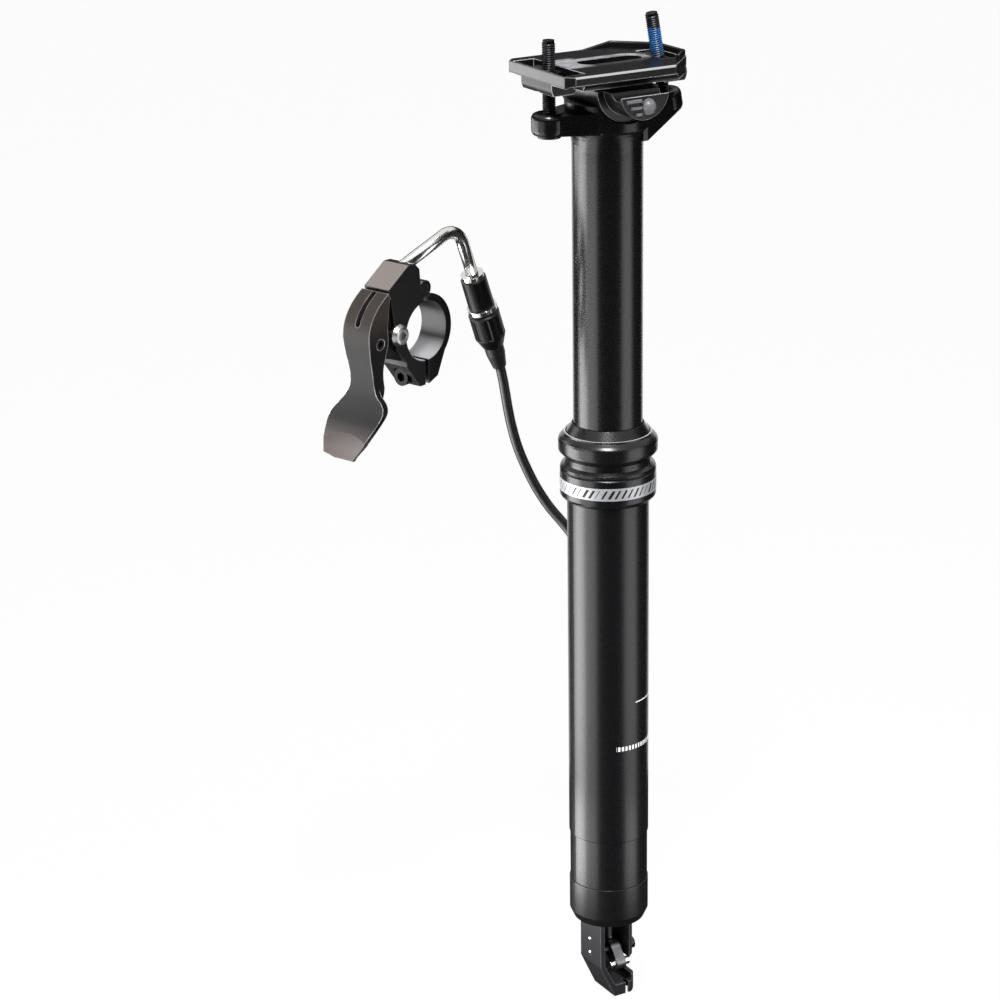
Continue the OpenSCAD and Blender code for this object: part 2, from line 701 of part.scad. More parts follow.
// Half of the clamp ring with its bottom ear, on the side given by s
module half_ring(s) {
    intersection() {
        union() {
            across(ring_r, clamp_w);
            slab(clamp_w) polygon([[-11, -8], [-6, foot_z + 2], [-1, foot_z], [4, foot_z], [11, -11.5], [11, -6], [0, -4]]);
        }
        translate([s > 0 ? ear_gap / 2 : -40 - ear_gap / 2, -40, -40]) cube([40, 80, 80]);
    }
}

// Body of the remote: front half ring, block that takes the noodle, and the lever's tongue
module remote_bracket() {
    color("#2b2b2e") at_remote() difference() {
        union() {
            half_ring(1);
            slab(clamp_w) polygon([[2, ring_r - 2], [3, ring_r + 10], [5.5, ring_r + 12.5], [8.9, ring_r + 12.6],
                [19.8, ring_r + 5.6], [19.2, ring_r + 3], [17.6, 8], [16.5, -4], [10, -11], [4, -8]]);
            slab(tongue_w) union() {
                polygon([[14, 12], [21, 8.5], [pivot_x, pivot_z + tongue_r], [pivot_x, pivot_z - tongue_r], [20, -6.5],
                    [12, -9]]);
                translate([pivot_x, pivot_z]) circle(r = tongue_r);
            }
            slab(clamp_w) translate([0, hinge_z]) circle(r = hinge_r + 1.6);
        }
        across(bar_r, 60);
        translate([0, 0, hinge_z]) across(hinge_r + press_gap, 60);
        translate([0, 0, hinge_z]) across(hinge_r + 1.9, clamp_w / 2);
        translate([pivot_x, 0, pivot_z]) across(lever_pin_r + press_gap, 40);
        translate([screw_x, 0, screw_z]) across(2.5 + press_gap, 40);
        translate([0, 0, pinch_z]) rotate([0, 90, 0]) cylinder(r = 2 + press_gap, h = 30);
        translate([pinch_x, 0, pinch_z]) rotate([0, 90, 0]) cylinder(r = 3.4 + air_gap, h = 30);
        translate([noodle_at[0], 0, noodle_at[1]]) rotate([0, 90 - noodle_heading, 0]) translate([0, 0, -noodle_seat])
            cylinder(r = noodle_r + press_gap, h = 20);
        translate([noodle_at[0], 0, noodle_at[1]]) rotate([0, 90 - cable_heading, 0]) translate([0, 0, -30])
            cylinder(r = 0.9, h = 31);
    }
}

module clamp_band() {
    color("#3a3a3e") at_remote() difference() {
        union() {
            difference() {
                half_ring(-1);
                translate([0, 0, hinge_z]) across(hinge_r + 1.9, clamp_w + cut);
            }
            slab(clamp_w / 2 - 0.4) union() {
                translate([0, hinge_z]) circle(r = hinge_r + 1.6);
                polygon([[-4, ring_r - 2], [-3.1, hinge_z], [0, hinge_z - 2], [-1.1, ring_r - 2]]);
            }
        }
        across(bar_r, 60);
        translate([0, 0, hinge_z]) across(hinge_r + press_gap, 60);
        translate([-30, 0, pinch_z]) rotate([0, 90, 0]) cylinder(r = 2 + press_gap, h = 31);
    }
}

module hinge_pin() {
    color("#a9abae") at_remote() translate([0, 0, hinge_z]) across(hinge_r, clamp_w);
}

module pinch_bolt() {
    color("#c8cacd") at_remote() translate([pinch_x, 0, pinch_z]) rotate([0, -90, 0])
        cap_screw(2, 3.4, 3.6, 10.2);
}

module bracket_screw() {
    color("#d4d6d8") at_remote() translate([screw_x, clamp_w / 2, screw_z]) rotate([90, 0, 0]) difference() {
        union() {
            cylinder(r = 2.5, h = clamp_w - 2);
            rotate_extrude() polygon([[0, 0], [4.2, 0], [4.2, -0.8], [3.3, -2.2], [2.4, -2.5], [0, -2.5]]);
        }
        translate([0, 0, -2.5 - cut]) cylinder(r = 1.7, h = 1.5 + cut, $fn = 6);
    }
}

// Smooth curve through hand-set points, as a list
function curve(p, n) = [for (i = [0 : len(p) - 2], k = [0 : n - 1]) curve_at(p, i, k / n)];
function curve_at(p, i, t) =
    let (a = p[max(i - 1, 0)], b = p[i], c = p[i + 1], d = p[min(i + 2, len(p) - 1)])
    0.5 * (2 * b + (c - a) * t + (2 * a - 5 * b + 4 * c - d) * t * t + (3 * b - a - 3 * c + d) * t * t * t);

// Lever seen from the side: front face, and the back of its side walls
lever_front = [[20.6, 18.6], [26, 14.6], [30, 9.5], [31.6, 4], [31, -3], [29.6, -10], [29.6, -17], [31.6, -23],
    [34.6, -29], [37.2, -35], [38.6, -41.5]];
lever_back = [[35.4, -41.5], [34.2, -36], [31.6, -30], [27.4, -24], [24.4, -18], [23.6, -10], [22.2, -4], [21.2, 1],
    [21.4, 6], [20.6, 12], [19.9, 17]];
lever_skin = [[35.6, -42.5], [34.3, -35], [31.8, -29], [28.8, -23], [27.1, -17], [27.3, -10], [29, -3], [29.6, 4],
    [28, 8.8], [24.4, 12.8], [18.8, 16.8]];

module lever_outline() {
    half = lever_w / 2;
    pad = pad_w / 2;
    polygon(concat([[-half, 20], [-half, 5]], curve([[-half, 2], [-half + 0.9, -9], [-half + 0.8, -15],
        [-half - 1.6, -20], [-pad, -26], [-pad - 0.4, -33]], 5), [[-pad, -40.5], [-1, -44], [1.5, -42]],
        curve([[2, -41], [7.5, -34], [pad - 0.6, -25], [pad - 1.4, -21], [half + 0.4, -17], [half - 0.8, -10], [half, 2]], 5),
        [[half, 20]]));
}

// Thumb lever: curved channel with a cable slot at the top and a dished pad at the foot
module remote_lever() {
    color("#6d6d71") at_remote() difference() {
        intersection() {
            union() {
                slab(pad_w + 4) polygon(concat(curve(lever_front, 5), [[38.6, -41.5]], curve(lever_skin, 5)));
                difference() {
                    slab(lever_w) polygon(concat(curve(lever_front, 5), [[38.6, -41.5]], curve(lever_back, 5)));
                    translate([0, -lever_w / 2 + lever_wall, -24]) cube([60, lever_w - 2 * lever_wall, 60]);
                    slab(lever_w - 2 * lever_wall) translate([0, -50]) square([60, 100]);
                }
            }
            translate([60, 0, 0]) rotate([90, 0, -90]) linear_extrude(60) mirror([1, 0]) lever_outline();
        }
        translate([pivot_x, 0, pivot_z]) across(lever_pin_r + run_gap, 40);
        translate([26, 0, 13]) rotate([0, 45, 0]) linear_extrude(40, center = true) rotate(0) slot_shape(13, 1.1);
        translate([86, -2, -33]) sphere(r = 50);
        translate([22.6, 0, 11.4]) across(1.7 + press_gap, lever_w - 2 * anchor_skin);
    }
}

module lever_pivot_pin() {
    color("#1e1e20") at_remote() translate([pivot_x, 0, pivot_z]) difference() {
        across(lever_pin_r, lever_w - 0.4);
        for (s = [-1, 1]) translate([0, s * lever_w / 2, 0]) across(1.2, 3);
    }
}

module cable_anchor() {
    color("#b5b7ba") at_remote() translate([22.6, 0, 11.4]) difference() {
        across(1.7, lever_w - 2 * anchor_skin - 2 * press_gap);
        rotate([0, 45, 0]) cylinder(r = 0.7, h = 10, center = true);
    }
}

module cable_noodle() {
    color("#cfd1d3") at_remote() sweep(noodle_route, noodle_r, 20, [0, 1, 0]);
}

// Frame of the adjuster: zero at its top, Z down along the cable
module at_adjuster() {
    at_remote() translate([adjuster_at[0], 0, adjuster_at[1]]) rotate([0, 90 - noodle_end, 0]) children();
}

module barrel_adjuster() {
    color("#1a1a1c") at_adjuster() difference() {
        rotate_extrude() polygon([[noodle_r + run_gap, 0], [noodle_r + 2, 0], [noodle_r + 2.5, 0.6],
            [adjuster_r - 1, adjuster_len - 18], [adjuster_r - 1, adjuster_len - 15.6], [adjuster_r, adjuster_len - 14.6],
            [adjuster_r, adjuster_len - 4.5], [adjuster_r - 1.8, adjuster_len], [cord_r + 0.4, adjuster_len],
            [cord_r + 0.4, 12], [noodle_r + run_gap, 12]]);
        for (a = [0 : 45 : 315]) rotate([0, 0, a]) translate([adjuster_r + 0.55, 0, adjuster_len - 14])
            cylinder(r = 1.1, h = 9);
        ring(adjuster_r + 2, adjuster_r - 1.6, adjuster_len - 17.9, adjuster_len - 16.1);
    }
}

module adjuster_ring() {
    color("#d9dbdd") at_adjuster() {
        ring(noodle_r + 2, noodle_r + run_gap, -1.5, -press_gap);
        ring(adjuster_r - 0.3, adjuster_r - 1.6 + press_gap, adjuster_len - 17.9 + press_gap, adjuster_len - 16.1 - press_gap);
    }
}

module adjuster_sleeve() {
    color("#2e2e31") at_adjuster() difference() {
        rotate_extrude() polygon([[0, adjuster_len + air_gap], [adjuster_r - 2.2, adjuster_len + air_gap],
            [adjuster_r - 2.3, adjuster_len + 4], [cord_r + 0.7, adjuster_len + sleeve_len], [0, adjuster_len + sleeve_len]]);
        translate([0, 0, adjuster_len + sleeve_len - 1.5]) cylinder(r = cord_r + press_gap, h = 4);
    }
}

module cable_housing() {
    color("#242427") rotate([0, 0, cord_turn]) sweep(housing_route, cord_r, 10);
}

module housing_hank() {
    color("#242427") rotate([0, 0, cord_turn]) sweep(hank_route, cord_r, 6);
}

// Tie round the hank's waist: one flat band
module hank_tie() {
    side = hank_layer + cord_r + air_gap;
    reach = hank_wide * (1 - hank_draw) - 0.9 + side;
    band = 1.2;
    color("#111113") rotate([0, 0, cord_turn]) translate([0, hank_t, hank_mid - 2.5]) linear_extrude(5) difference() {
        tie_shape(reach + band, side + band);
        tie_shape(reach, side);
    }
}

module tie_shape(reach, side) {
    rotate(90) slot_shape(2 * (reach - side), side);
}

// Frame of the cable's free end: zero at the housing's end, Z along the wire
module at_cable_end() {
    rotate([0, 0, cord_turn]) translate([hank_layer, hank_near, hank_top - 4]) mirror([0, 0, 1]) children();
}

module end_ferrule() {
    color("#b9bbbe") at_cable_end() difference() {
        union() {
            cylinder(r = cord_r + 0.5, h = 12);
            translate([0, 0, 12]) cylinder(r = cord_r - 0.2, h = 2);
        }
        translate([0, 0, -cut]) cylinder(r = 0.65, h = 20);
    }
}

module cable_tail() {
    color("#c9cbce") at_cable_end() union() {
        translate([0, 0, 1]) cylinder(r = 0.6, h = 40);
        translate([0, 0, 41]) cylinder(r = 2, h = 4.4);
    }
}

outer_tube();
collar_nut();
wiper_seal();
foam_ring();
upper_bushing();
end_cap();
piston_rod();
piston();
rod_nut();
actuator_bracket();
stop_pins();
cam_pivot_pin();
actuator_cam();
cable_barrel();
valve_pin();
stanchion();
lower_bushing();
guide_keys();
cartridge_tube();
cartridge_head();
front_clamp_bolt();
rear_clamp_bolt();
bolt_washers();
rail_cradle();
clamp_plate();
front_barrel_nut();
rear_barrel_nut();
remote_bracket();
clamp_band();
hinge_pin();
pinch_bolt();
bracket_screw();
remote_lever();
lever_pivot_pin();
cable_anchor();
cable_noodle();
barrel_adjuster();
adjuster_ring();
adjuster_sleeve();
cable_housing();
housing_hank();
hank_tie();
end_ferrule();
cable_tail();
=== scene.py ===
"""Looks of a dropper seatpost with its remote lever and cable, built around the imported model."""

import math

import bpy
from mathutils import Matrix, Vector


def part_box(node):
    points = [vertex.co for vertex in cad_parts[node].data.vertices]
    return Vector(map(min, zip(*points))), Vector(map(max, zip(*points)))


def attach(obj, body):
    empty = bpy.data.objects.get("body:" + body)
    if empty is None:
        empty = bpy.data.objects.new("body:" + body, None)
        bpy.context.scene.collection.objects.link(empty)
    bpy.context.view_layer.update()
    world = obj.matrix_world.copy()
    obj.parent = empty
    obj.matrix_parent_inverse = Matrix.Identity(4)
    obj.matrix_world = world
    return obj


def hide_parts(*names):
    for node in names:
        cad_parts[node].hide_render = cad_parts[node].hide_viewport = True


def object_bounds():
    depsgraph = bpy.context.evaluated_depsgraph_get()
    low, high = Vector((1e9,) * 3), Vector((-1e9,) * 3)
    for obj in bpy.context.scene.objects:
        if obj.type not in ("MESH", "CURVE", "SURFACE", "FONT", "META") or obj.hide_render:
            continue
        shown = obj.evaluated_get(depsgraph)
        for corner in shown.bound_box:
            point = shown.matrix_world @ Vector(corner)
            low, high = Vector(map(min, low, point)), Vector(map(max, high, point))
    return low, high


bl_info = {
    "name": "Dropper seatpost looks",
    "version": (1, 0, 0),
    "blender": (4, 5, 0),
    "location": "View3D > Sidebar > Seatpost",
    "description": "Finishes, threads, marks and cable of a dropper seatpost",
    "category": "Object",
}

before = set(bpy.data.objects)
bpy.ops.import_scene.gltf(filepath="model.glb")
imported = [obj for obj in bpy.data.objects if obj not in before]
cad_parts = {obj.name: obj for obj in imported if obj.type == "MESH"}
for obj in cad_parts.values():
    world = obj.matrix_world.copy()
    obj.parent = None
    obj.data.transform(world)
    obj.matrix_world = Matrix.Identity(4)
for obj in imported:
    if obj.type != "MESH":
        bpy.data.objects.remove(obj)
CAD_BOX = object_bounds()
MM = 0.001


def linear(hex_colour):
    """Linear RGBA of an sRGB hex colour."""
    channels = [int(hex_colour[i : i + 2], 16) / 255 for i in (1, 3, 5)]
    return [c / 12.92 if c <= 0.04045 else ((c + 0.055) / 1.055) ** 2.4 for c in channels] + [1]


def shade(hex_colour, factor):
    """Linear RGBA of a hex colour made darker or lighter."""
    return [c * factor for c in linear(hex_colour)[:3]] + [1]


def add_node(tree, kind, inputs=None, **settings):
    """Adds one node with its settings, and sets or links its inputs."""
    node = tree.nodes.new(kind)
    for key, value in settings.items():
        setattr(node, key, value)
    for key, value in (inputs or {}).items():
        if isinstance(value, bpy.types.NodeSocket):
            tree.links.new(value, node.inputs[key])
        else:
            node.inputs[key].default_value = value
    return node


class Finish:
    """A material in the making: its tree, shader and Object coordinates."""

    def __init__(self, name, **values):
        self.made = bpy.data.materials.new(name)
        self.made.use_nodes = True
        self.tree = self.made.node_tree
        self.shader = self.tree.nodes["Principled BSDF"]
        self.place = self.add("ShaderNodeTexCoord").outputs["Object"]
        for key, value in values.items():
            self.shader.inputs[key.replace("_", " ")].default_value = value

    def add(self, kind, inputs=None, **settings):
        """Adds one node to this material."""
        return add_node(self.tree, kind, inputs, **settings)

    def link(self, output, name):
        """Feeds one input of the shader."""
        self.tree.links.new(output, self.shader.inputs[name])

    def math(self, operation, a, b=0.0, clamp=False):
        """One sum of two sockets or numbers."""
        return self.add("ShaderNodeMath", {0: a, 1: b}, operation=operation, use_clamp=clamp).outputs[0]

    def both(self, *masks):
        """1 where every mask is 1."""
        product = masks[0]
        for mask in masks[1:]:
            product = self.math("MULTIPLY", product, mask)
        return product

    def reach(self, a, b):
        """Distance of the point (a, b) from zero."""
        return self.math("SQRT", self.math("ADD", self.math("POWER", a, 2.0), self.math("POWER", b, 2.0)))

    def spread(self, value, low, high, to_low, to_high):
        """The value moved from one range to another."""
        sizes = {"Value": value, "From Min": low, "From Max": high, "To Min": to_low, "To Max": to_high}
        return self.add("ShaderNodeMapRange", sizes).outputs[0]

    def grain(self, size_mm, stretch=(1, 1, 1), detail=3.0):
        """Noise with features of about size_mm, drawn out by the given factors."""
        moved = self.add("ShaderNodeMapping", {"Vector": self.place, "Scale": stretch}).outputs[0]
        sizes = {"Vector": moved, "Scale": 1 / (size_mm * MM), "Detail": detail}
        return self.add("ShaderNodeTexNoise", sizes).outputs["Fac"]

    def mixed(self, share, a, b):
        """Colour a where share is 0 and b where it is 1."""
        inputs = {"Factor": share, "A": a, "B": b}
        return self.add("ShaderNodeMix", inputs, data_type="RGBA").outputs["Result"]

    def edges(self, radius_mm):
        """The normal with edges rounded by radius_mm, and a mask that is 1 along those edges."""
        rounded = self.add("ShaderNodeBevel", {"Radius": radius_mm * MM}, samples=6).outputs[0]
        flat = self.add("ShaderNodeNewGeometry").outputs["Normal"]
        alike = self.add("ShaderNodeVectorMath", {0: rounded, 1: flat}, operation="DOT_PRODUCT")
        return rounded, self.spread(alike.outputs["Value"], 0.95, 0.87, 0, 1)

    def within(self, value, low, high):
        """1 where the value lies between low and high."""
        return self.both(self.math("GREATER_THAN", value, low), self.math("LESS_THAN", value, high))

    def axes(self):
        """X, Y and Z in millimetres."""
        parts = self.add("ShaderNodeSeparateXYZ", {0: self.place}).outputs
        return [self.math("DIVIDE", part, MM) for part in parts]

    def round_post(self):
        """Angle round the post in degrees, and height in millimetres."""
        x, y, z = self.axes()
        return self.math("MULTIPLY", self.math("ARCTAN2", y, x), 180 / math.pi), z

    def over(self, mask, colour):
        """Lays a colour over the base colour where the mask is 1."""
        under = self.shader.inputs["Base Color"].links[0].from_socket
        self.link(self.mixed(mask, under, colour), "Base Color")

    def relief(self, height, strength, depth_mm, normal):
        """Bump of the given depth on top of a normal."""
        sizes = {"Height": height, "Strength": strength, "Distance": depth_mm * MM, "Normal": normal}
        return self.add("ShaderNodeBump", sizes).outputs[0]


def anodised(name, colour, worn, roughness, grit_mm, wear, edge_mm=0.35, dent=0.12, **values):
    """Anodised aluminium: dyed oxide with a blasted grit, its edges rubbed towards bare metal."""
    f = Finish(name, **values)
    rounded, edge = f.edges(edge_mm)
    patch = f.grain(7)
    grit = f.grain(grit_mm, detail=2)
    rubbed = f.math("MULTIPLY", f.both(edge, f.spread(patch, 0.35, 0.6, 0.35, 1)), wear, True)
    dyed = f.mixed(patch, shade(colour, 0.8), shade(colour, 1.2))
    f.link(f.mixed(rubbed, dyed, linear(worn)), "Base Color")
    f.link(f.spread(grit, 0.3, 0.7, roughness - 0.05, roughness + 0.05), "Roughness")
    f.link(f.relief(grit, dent, 0.05, rounded), "Normal")
    return f


def steel(name, colour, roughness, brush=(1, 1, 1), brush_mm=0.5, dent=0.08, stain=0.25, edge_mm=0.2):
    """Steel: bright metal with fine drawn or turned lines and faint stains."""
    f = Finish(name, Metallic=1.0)
    rounded = f.edges(edge_mm)[0]
    lines = f.grain(brush_mm, brush, 2)
    patch = f.grain(5)
    clean = f.spread(patch, 0.35, 0.65, 0, 1)
    f.link(f.mixed(clean, shade(colour, 1 - stain), linear(colour)), "Base Color")
    f.link(f.spread(lines, 0.3, 0.7, roughness - 0.05, roughness + 0.08), "Roughness")
    f.link(f.relief(lines, dent, 0.03, rounded), "Normal")
    return f


def moulded(name, colour, roughness, grit_mm, dent, **values):
    """Moulded rubber or plastic: even colour with a spark-eroded grit from the mould."""
    f = Finish(name, **values)
    rounded = f.edges(0.3)[0]
    grit = f.grain(grit_mm, detail=2)
    patch = f.grain(9)
    f.link(f.mixed(patch, shade(colour, 0.75), linear(colour)), "Base Color")
    f.link(f.spread(grit, 0.3, 0.7, roughness - 0.06, roughness + 0.06), "Roughness")
    f.link(f.relief(grit, dent, 0.06, rounded), "Normal")
    return f


def paint(finish, *names):
    """Puts one finish on CAD nodes or on new pieces."""
    for name in names:
        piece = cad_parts.get(name) or bpy.data.objects[name]
        piece.data.materials.clear()
        piece.data.materials.append(finish.made)


def only(piece=None):
    """Deselects everything, then selects one piece."""
    if bpy.context.object and bpy.context.object.mode != "OBJECT":
        bpy.ops.object.mode_set(mode="OBJECT")
    bpy.ops.object.select_all(action="DESELECT")
    if piece:
        piece.select_set(True)
        bpy.context.view_layer.objects.active = piece


def settle(piece, name, body):
    """Puts a new piece's place into its mesh, names it and makes it ride."""
    only(piece)
    bpy.ops.object.transform_apply(location=True, rotation=True, scale=True)
    piece.name = piece.data.name = name
    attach(piece, body)
    return piece


def metres(name, description, size):
    """A length as a property."""
    return bpy.props.FloatProperty(name=name, description=description, default=size, unit="LENGTH")


def degrees(name, description, turn):
    """An angle as a property, given in degrees."""
    turned = math.radians(turn)
    return bpy.props.FloatProperty(name=name, description=description, default=turned, subtype="ANGLE")


class CameraSizes(bpy.types.PropertyGroup):
    """Where the photograph was taken from, and the studio's sizes."""

    azimuth: degrees("Azimuth", "Turn round the post", 150)
    elevation: degrees("Elevation", "Height above the horizon", 19.3)
    roll: bpy.props.FloatProperty(
        name="Roll", description="Lean of the camera", default=0.0149, subtype="ANGLE"
    )
    lens: bpy.props.FloatProperty(name="Lens", description="Focal length in mm", default=105.2)
    place: bpy.props.FloatVectorProperty(
        name="Place",
        description="Where the lens is",
        default=(0.5548, 0.8795, 0.3631),
        subtype="TRANSLATION",
    )
    floor: metres("Floor", "Height of the floor", CAD_BOX[0].z)
    wall: metres("Wall", "Height of the black card's walls", 2.3)
    pale: bpy.props.StringProperty(name="Pale", description="Colour of the floor", default="#f4f4f4")


class CableSizes(bpy.types.PropertyGroup):
    """Cable housing, in the same sizes as the part's source."""

    thick: metres("Thickness", "Outside diameter of the housing", 0.004)
    turns: bpy.props.IntProperty(name="Turns", description="Turns in the hank", default=6)
    core: metres("Core", "Innermost turn", 0.012)
    step: metres("Step", "Growth per turn", 0.00575)
    half: metres("Half run", "Half a straight run", 0.036)
    middle: metres("Middle", "Height of the hank", -0.105)
    layer: metres("Layer", "Half a layer's pitch", 0.0024)
    near: metres("Near", "Hank behind the axis", 0.0186)
    draw: bpy.props.FloatProperty(name="Draw", description="Waist under the tie", default=0.2)
    turn: degrees("Turn", "Turn of the cable's plane", 150)


class BoltSizes(bpy.types.PropertyGroup):
    """Saddle clamp bolts, in the same sizes as the part's source."""

    pitch: metres("Pitch", "Pitch of the thread", 0.0008)
    core: metres("Core", "Radius at the root", 0.0021)
    crest: metres("Crest", "Height of the thread", 0.00038)
    head: metres("Head", "Radius of the head", 0.0043)
    head_height: metres("Head height", "Height of the head", 0.004)
    plain: metres("Plain", "Unthreaded shank", 0.006)
    lean: degrees("Lean", "Forward lean of the rear bolt", 10)


class BandSizes(bpy.types.PropertyGroup):
    """Printed band round the collar nut."""

    radius: metres("Radius", "Inside radius", 0.01812)
    thick: metres("Thickness", "Foil thickness", 0.00006)
    low: metres("Low", "Lower edge", 0.0043)
    high: metres("High", "Upper edge", 0.0091)
    stroke: bpy.props.FloatProperty(
        name="Stroke", description="Pitch of the slanted strokes in mm", default=2.5
    )


class RimSizes(bpy.types.PropertyGroup):
    """Raised rim on the clamp plate, in the same sizes as the part's source."""

    width: metres("Width", "Width of the plate", 0.044)
    back: metres("Back", "Rear edge of the plate", 0.028)
    cut: metres("Cut", "Rear corner of the plate", 0.013)
    inset: metres("Inset", "Rim's middle from the edge", 0.0009)
    thick: metres("Thickness", "Thickness of the rim", 0.0014)
    foot: metres("Foot", "Height of the rim's foot", 0.1652)
    height: metres("Height", "Height of the rim", 0.0026)
    far_end: metres("Far end", "Where the far side ends", -0.002)
    body: bpy.props.StringProperty(
        name="Body", description="Body that carries the rim", default="saddle_clamp"
    )


# Sides and gaps of the floor and the black card, in metres
FLOOR_SIZE = 8
FLOOR_GAP = 0.0005
CARD_RADIUS = 3.8
CARD_GAP = 0.0002
# How much of the floor is seen as plain white, and how strongly the world lights matt surfaces
FLOOR_WHITE = 0.95
WORLD_LIGHT = 0.35
LAMP_SPREAD = math.radians(120)


class SEATPOST_OT_stage(bpy.types.Operator):
    """Camera, floor, lamps and world"""

    bl_idname = "seatpost.stage"
    bl_label = "Stage"

    def execute(self, context):
        c = context.scene.seatpost_camera
        scene = context.scene
        scene.view_settings.view_transform = "Standard"
        lens = bpy.data.cameras.new("photo_camera")
        lens.lens = c.lens
        lens.clip_start = 0.05
        eye = bpy.data.objects.new("photo_camera", lens)
        scene.collection.objects.link(eye)
        scene.camera = eye
        turn = Matrix.Rotation(c.azimuth, 4, "Z") @ Matrix.Rotation(math.pi / 2 - c.elevation, 4, "X")
        eye.matrix_world = Matrix.Translation(c.place) @ turn @ Matrix.Rotation(-c.roll, 4, "Z")

        only()
        bpy.ops.mesh.primitive_plane_add(size=FLOOR_SIZE, location=(0, 0, c.floor - FLOOR_GAP))
        floor = context.object
        floor.name = "floor"
        f = Finish("pale_floor", Roughness=0.7)
        f.shader.inputs["Specular IOR Level"].default_value = 0.1
        f.link(f.mixed(f.grain(900), linear(c.pale), linear("#f0f0f0")), "Base Color")
        seen = self.white_seen(f.tree)
        glow = f.add("ShaderNodeEmission", {"Color": (1, 1, 1, 1), "Strength": 1.0}).outputs[0]
        share = f.math("MULTIPLY", seen, FLOOR_WHITE)
        shown = f.add("ShaderNodeMixShader", {0: share, 1: f.shader.outputs[0], 2: glow})
        f.tree.links.new(shown.outputs[0], f.tree.nodes["Material Output"].inputs["Surface"])
        floor.data.materials.append(f.made)

        # A black studio card on the floor and low walls of it, which only reflections show
        only()
        bpy.ops.mesh.primitive_circle_add(
            vertices=64, radius=CARD_RADIUS, fill_type="NGON", location=(0, 0, c.floor - CARD_GAP)
        )
        card = context.object
        bpy.ops.object.mode_set(mode="EDIT")
        bpy.ops.mesh.select_all(action="SELECT")
        bpy.ops.mesh.region_to_loop()
        bpy.ops.mesh.extrude_edges_move(TRANSFORM_OT_translate={"value": (0, 0, c.wall)})
        bpy.ops.object.mode_set(mode="OBJECT")
        card.name = "dark_card"
        card.visible_camera = card.visible_diffuse = card.visible_shadow = False
        black = Finish("black_card", Roughness=0.9)
        black.link(black.mixed(black.grain(40), linear("#0c0c0c"), linear("#101010")), "Base Color")
        card.data.materials.append(black.made)

        world = bpy.data.worlds.new("studio")
        scene.world = world
        world.use_nodes = True
        tree = world.node_tree
        back = tree.nodes["Background"]
        back.inputs["Color"].default_value = linear("#ffffff")
        level = add_node(
            tree,
            "ShaderNodeMapRange",
            {"Value": self.white_seen(tree), "To Min": WORLD_LIGHT, "To Max": 1.0},
        )
        tree.links.new(level.outputs[0], back.inputs["Strength"])

        for name, watts, size, spot, target in LAMPS:
            lamp = bpy.data.lights.new(name, "AREA")
            lamp.energy = watts
            lamp.shape = "RECTANGLE"
            lamp.size, lamp.size_y = size
            lamp.spread = LAMP_SPREAD
            holder = bpy.data.objects.new(name, lamp)
            holder.visible_camera = False
            scene.collection.objects.link(holder)
            aim = Vector(target) - Vector(spot)
            facing = aim.to_track_quat("-Z", "Y").to_matrix().to_4x4()
            holder.matrix_world = Matrix.Translation(spot) @ facing
        return {"FINISHED"}

    @staticmethod
    def white_seen(tree):
        """1 for camera, glossy and transmission rays."""
        path = add_node(tree, "ShaderNodeLightPath").outputs
        seen = path["Is Camera Ray"]
        for kind in ("Is Glossy Ray", "Is Transmission Ray"):
            either = add_node(tree, "ShaderNodeMath", {0: seen, 1: path[kind]}, operation="MAXIMUM")
            seen = either.outputs[0]
        return seen


# Name, watts, size, place and target of each lamp, in metres
LAMPS = (
    ("left_strip", 0.55, (0.13, 0.3), (0.176, -0.096, -0.045), (0, 0, -0.02)),
    ("left_fill", 0.16, (0.12, 0.3), (0.198, 0.028, -0.045), (0, 0, -0.02)),
    ("right_strip", 0.15, (0.14, 0.3), (-0.106, 0.17, -0.045), (0, 0, -0.02)),
    ("rear_strip", 0.04, (0.07, 0.3), (-0.166, -0.112, -0.045), (0, 0, -0.02)),
    ("far_strip", 0.04, (0.07, 0.3), (-0.028, -0.198, -0.045), (0, 0, -0.02)),
    ("left_foot", 0.035, (0.06, 0.04), (0.079, -0.043, -0.178), (0, 0, -0.15)),
    ("front_foot", 0.01, (0.06, 0.04), (0.089, 0.013, -0.178), (0, 0, -0.15)),
    ("right_foot", 0.009, (0.06, 0.04), (-0.048, 0.076, -0.178), (0, 0, -0.15)),
    ("head_strip", 0.035, (0.08, 0.08), (0.106, -0.17, 0.115), (0, 0, 0.16)),
    ("top_lamp", 9, (0.3, 0.3), (0.35, 0.5, 1.2), (0, 0, 0.1)),
)


# Free run of the cable from the adjuster to the hank, in millimetres
FREE_RUN = ((-35, 34, 14), (-30, 33, 0), (-23, 32, -13), (-14, 29, -24), (-7, 24, -34), (-3, 20, -46))
# Points along one turn of the hank: four on each straight run and eight on each bend
PER_TURN = 24
BEND_STEP = 22.5


